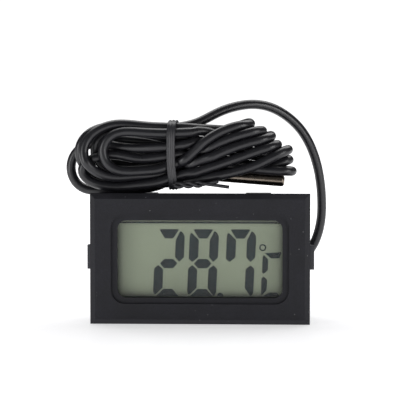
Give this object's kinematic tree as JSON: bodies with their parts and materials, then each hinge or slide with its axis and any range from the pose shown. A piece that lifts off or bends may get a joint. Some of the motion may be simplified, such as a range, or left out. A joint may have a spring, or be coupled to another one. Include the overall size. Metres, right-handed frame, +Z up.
{
  "type": "panel-mount digital thermometer with probe lead",
  "caption": "Snap-in LCD panel thermometer with a battery door at the back and a metal probe on a folded, tied lead.",
  "frame": {"origin": "under the middle of the case, at the height of the bezel's bottom edge", "axes": "+X to the right as the display is read, +Y from the display to the battery door, +Z up"},
  "size_m": [0.0577, 0.0264, 0.0488],
  "materials": {
    "black_abs": "fine moulded grain",
    "clip_plastic": "satin moulded",
    "clear_acrylic": "clear",
    "lcd_glass": "grey-green display",
    "reflector_foil": "diffuse foil",
    "grey_plastic": "moulded",
    "silicone": "layered elastomer",
    "board_laminate": "solder-masked laminate",
    "epoxy": "cast epoxy",
    "ceramic": "fired ceramic",
    "zinc_steel": "zinc plated",
    "cell_steel": "nickel plated",
    "contact_brass": "plated leaf",
    "solder_tin": "soft solder",
    "soft_rubber": "moulded rubber",
    "lead_pvc": "satin extruded",
    "core_pvc": "extruded",
    "tie_pvc": "extruded round a wire core",
    "probe_steel": "drawn and polished"
  },
  "bodies": {
    "root": {"front_case": "black_abs", "rear_cover": "black_abs", "window_lens": "clear_acrylic", "lcd_front_glass": "lcd_glass", "lcd_rear_glass": "lcd_glass", "lcd_reflector": "reflector_foil", "lcd_frame": "grey_plastic", "zebra_strip": "silicone", "circuit_board": "board_laminate", "chip_blob": "epoxy", "capacitor_1": "ceramic", "capacitor_2": "ceramic", "resistor_1": "epoxy", "resistor_2": "epoxy", "board_screw_1": "zinc_steel", "board_screw_2": "zinc_steel", "board_screw_3": "zinc_steel", "board_screw_4": "zinc_steel", "battery_cell_1": "cell_steel", "battery_cell_2": "cell_steel", "contact_positive": "contact_brass", "contact_negative": "contact_brass", "cord_gland": "soft_rubber", "lead_core_1": "core_pvc", "lead_core_2": "core_pvc", "solder_joint_1": "solder_tin", "solder_joint_2": "solder_tin", "lead": "lead_pvc", "lead_hank": "lead_pvc", "twist_tie": "tie_pvc", "probe_capsule": "probe_steel", "probe_seal": "soft_rubber", "thermistor_bead": "epoxy"},
    "door": {"battery_door": "black_abs", "door_contact": "contact_brass"},
    "clip_left": {"panel_clip_left": "clip_plastic"},
    "clip_right": {"panel_clip_right": "clip_plastic"}
  },
  "joints": [
    {"name": "battery_door_hinge", "type": "hinge", "parent": "root", "child": "door", "pos_m": [-0.005, 0.00705, 0.00765], "axis": [-1, 0, 0], "range_deg": [0, 105]},
    {"name": "clip_left_flex", "type": "hinge", "parent": "root", "child": "clip_left", "pos_m": [-0.0221, 0.0049, 0.0143], "axis": [0, 0, 1], "range_deg": [0, 17], "stiffness_Nm_per_rad": 0.13},
    {"name": "clip_right_flex", "type": "hinge", "parent": "root", "child": "clip_right", "pos_m": [0.0221, 0.0049, 0.0143], "axis": [0, 0, -1], "range_deg": [0, 17], "stiffness_Nm_per_rad": 0.13}
  ]
}
